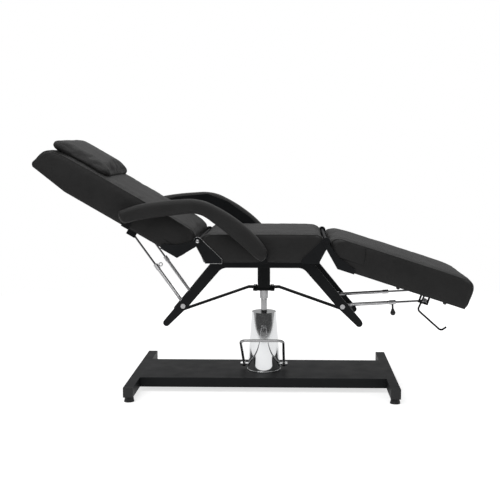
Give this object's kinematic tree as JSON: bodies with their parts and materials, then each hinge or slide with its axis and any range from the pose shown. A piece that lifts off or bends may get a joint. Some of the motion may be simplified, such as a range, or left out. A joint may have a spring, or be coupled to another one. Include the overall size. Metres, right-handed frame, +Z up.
{
  "type": "massage table",
  "caption": "Padded massage table on a hydraulic column and flat base, with a reclining backrest, hinged leg rest, linked armrests and a foot pedal.",
  "frame": {"origin": "middle of the table's outline on the floor, backrest and leg rest at their rest angles", "axes": "+X from head end to foot end, +Y away from the pedal, +Z up"},
  "size_m": [1.7693, 0.628, 1.068],
  "materials": {
    "powder_coat": "satin",
    "black_plastic": "matte",
    "chrome": "polished",
    "zinc_steel": "satin",
    "cast_pump": "matte",
    "upholstery": "satin",
    "plywood": "matte"
  },
  "bodies": {
    "base": {"base_beam": "powder_coat", "base_bar_head": "powder_coat", "base_bar_foot": "powder_coat", "base_end_caps": "black_plastic", "pump_block": "cast_pump", "pump_bolts": "zinc_steel", "pump_cylinder": "cast_pump", "pump_gland": "cast_pump", "pump_cover": "chrome"},
    "piston": {"piston_rod": "chrome"},
    "pedal": {"pedal_bail": "chrome", "pedal_axle": "chrome"},
    "upper_frame": {"piston_collar": "zinc_steel", "post_flange": "powder_coat", "column_post": "powder_coat", "seat_crossmember": "powder_coat", "side_frame_near": "powder_coat", "side_frame_far": "powder_coat", "frame_spreaders": "powder_coat", "frame_braces": "powder_coat", "brace_bolts": "zinc_steel", "stay_pivot_bolts": "zinc_steel", "seat_board": "plywood", "seat_cushion": "upholstery", "seat_hinge_plates": "powder_coat", "arm_front_brackets": "powder_coat"},
    "backrest": {"back_board": "plywood", "back_cushion": "upholstery", "back_hinge_plates": "powder_coat", "back_hinge_shaft": "zinc_steel", "back_stay_brackets": "powder_coat", "arm_rear_brackets": "powder_coat"},
    "pillow": {"head_pillow": "upholstery"},
    "legrest": {"leg_board": "plywood", "leg_cushion": "upholstery", "leg_hinge_plates": "powder_coat", "leg_hinge_shaft": "zinc_steel", "leg_stay_brackets": "powder_coat", "lever_bracket": "powder_coat"},
    "trigger": {"stay_trigger": "zinc_steel"},
    "knob": {"stay_knob": "black_plastic"},
    "release": {"release_lever": "powder_coat"},
    "arm_near": {"arm_plate_near": "powder_coat", "arm_pad_near": "upholstery"},
    "back_tube_near": {"back_stay_tube_near": "zinc_steel"},
    "back_rod_near": {"back_stay_rod_near": "zinc_steel"},
    "leg_tube_near": {"leg_stay_tube_near": "zinc_steel"},
    "leg_rod_near": {"leg_stay_rod_near": "zinc_steel"},
    "arm_far": {"arm_plate_far": "powder_coat", "arm_pad_far": "upholstery"},
    "back_tube_far": {"back_stay_tube_far": "zinc_steel"},
    "back_rod_far": {"back_stay_rod_far": "zinc_steel"},
    "leg_tube_far": {"leg_stay_tube_far": "zinc_steel"},
    "leg_rod_far": {"leg_stay_rod_far": "zinc_steel"},
    "foot_head_near": {"levelling_foot_head_near": "black_plastic"},
    "foot_head_far": {"levelling_foot_head_far": "black_plastic"},
    "foot_foot_near": {"levelling_foot_foot_near": "black_plastic"},
    "foot_foot_far": {"levelling_foot_foot_far": "black_plastic"}
  },
  "joints": [
    {"name": "lift", "type": "slide", "parent": "base", "child": "piston", "axis": [0, 0, 1], "range_m": [-0.05, 0.06]},
    {"name": "swivel", "type": "hinge", "parent": "piston", "child": "upper_frame", "pos_m": [0.0324, 0, 0.4], "axis": [0, 0, 1], "continuous": true},
    {"name": "pedal", "type": "hinge", "parent": "base", "child": "pedal", "pos_m": [0.0324, 0, 0.084], "axis": [1, 0, 0], "range_deg": [0, 33], "stiffness_Nm_per_rad": 6, "springref_deg": -22.92},
    {"name": "backrest", "type": "hinge", "parent": "upper_frame", "child": "backrest", "pos_m": [-0.2246, 0, 0.643], "axis": [0, 1, 0], "range_deg": [-30, 25]},
    {"name": "legrest", "type": "hinge", "parent": "upper_frame", "child": "legrest", "pos_m": [0.2894, 0, 0.643], "axis": [0, 1, 0], "range_deg": [-18, 20]},
    {"name": "pillow_slide", "type": "slide", "parent": "backrest", "child": "pillow", "axis": [-0.866, 0, 0.5], "range_m": [-0.12, 0.01]},
    {"name": "stay_trigger", "type": "slide", "parent": "back_tube_near", "child": "trigger", "axis": [0.8134, 0, 0.5817], "range_m": [0, 0.003], "stiffness_N_per_m": 400, "springref_m": -0.004},
    {"name": "stay_knob", "type": "hinge", "parent": "leg_tube_near", "child": "knob", "pos_m": [0.56805, -0.133, 0.37906], "axis": [0.0577, 0, -0.9983], "range_deg": [0, 90]},
    {"name": "release_lever", "type": "hinge", "parent": "legrest", "child": "release", "pos_m": [0.7131, -0.06, 0.40018], "axis": [0, 1, 0], "range_deg": [-14, 0], "stiffness_Nm_per_rad": 1.2, "springref_deg": 28.65},
    {"name": "arm_near", "type": "hinge", "parent": "upper_frame", "child": "arm_near", "pos_m": [0.0374, -0.258, 0.588], "axis": [0, 1, 0], "range_deg": [-15.45, 12.88]},
    {"name": "back_tube_near", "type": "hinge", "parent": "upper_frame", "child": "back_tube_near", "pos_m": [-0.2946, -0.133, 0.367], "axis": [0, 1, 0], "range_deg": [-15, 12.5]},
    {"name": "back_rod_near", "type": "hinge", "parent": "backrest", "child": "back_rod_near", "pos_m": [-0.50841, -0.133, 0.66598], "axis": [0, 1, 0], "range_deg": [-12.5, 15]},
    {"name": "leg_tube_near", "type": "hinge", "parent": "upper_frame", "child": "leg_tube_near", "pos_m": [0.3594, -0.133, 0.367], "axis": [0, 1, 0], "range_deg": [-21.06, 23.4]},
    {"name": "leg_rod_near", "type": "slide", "parent": "leg_tube_near", "child": "leg_rod_near", "axis": [0.9983, 0, 0.0577], "range_m": [-0.0936, 0.08424]},
    {"name": "arm_far", "type": "hinge", "parent": "upper_frame", "child": "arm_far", "pos_m": [0.0374, 0.258, 0.588], "axis": [0, 1, 0], "range_deg": [-15.45, 12.88]},
    {"name": "back_tube_far", "type": "hinge", "parent": "upper_frame", "child": "back_tube_far", "pos_m": [-0.2946, 0.133, 0.367], "axis": [0, 1, 0], "range_deg": [-15, 12.5]},
    {"name": "back_rod_far", "type": "hinge", "parent": "backrest", "child": "back_rod_far", "pos_m": [-0.50841, 0.133, 0.66598], "axis": [0, 1, 0], "range_deg": [-12.5, 15]},
    {"name": "leg_tube_far", "type": "hinge", "parent": "upper_frame", "child": "leg_tube_far", "pos_m": [0.3594, 0.133, 0.367], "axis": [0, 1, 0], "range_deg": [-21.06, 23.4]},
    {"name": "leg_rod_far", "type": "slide", "parent": "leg_tube_far", "child": "leg_rod_far", "axis": [0.9983, 0, 0.0577], "range_m": [-0.0936, 0.08424]},
    {"name": "foot_head_near", "type": "slide", "parent": "base", "child": "foot_head_near", "axis": [0, 0, 1], "range_m": [-0.008, 0]},
    {"name": "foot_head_far", "type": "slide", "parent": "base", "child": "foot_head_far", "axis": [0, 0, 1], "range_m": [-0.008, 0]},
    {"name": "foot_foot_near", "type": "slide", "parent": "base", "child": "foot_foot_near", "axis": [0, 0, 1], "range_m": [-0.008, 0]},
    {"name": "foot_foot_far", "type": "slide", "parent": "base", "child": "foot_foot_far", "axis": [0, 0, 1], "range_m": [-0.008, 0]}
  ],
  "couplings": [
    {"joint": "arm_near", "follows": "backrest", "ratio": 0.515},
    {"joint": "back_tube_near", "follows": "backrest", "ratio": 0.5},
    {"joint": "back_rod_near", "follows": "backrest", "ratio": -0.5},
    {"joint": "leg_tube_near", "follows": "legrest", "ratio": 1.17},
    {"joint": "leg_rod_near", "follows": "legrest", "m_per_rad": -0.26814},
    {"joint": "arm_far", "follows": "backrest", "ratio": 0.515},
    {"joint": "back_tube_far", "follows": "backrest", "ratio": 0.5},
    {"joint": "back_rod_far", "follows": "backrest", "ratio": -0.5},
    {"joint": "leg_tube_far", "follows": "legrest", "ratio": 1.17},
    {"joint": "leg_rod_far", "follows": "legrest", "m_per_rad": -0.26814}
  ]
}
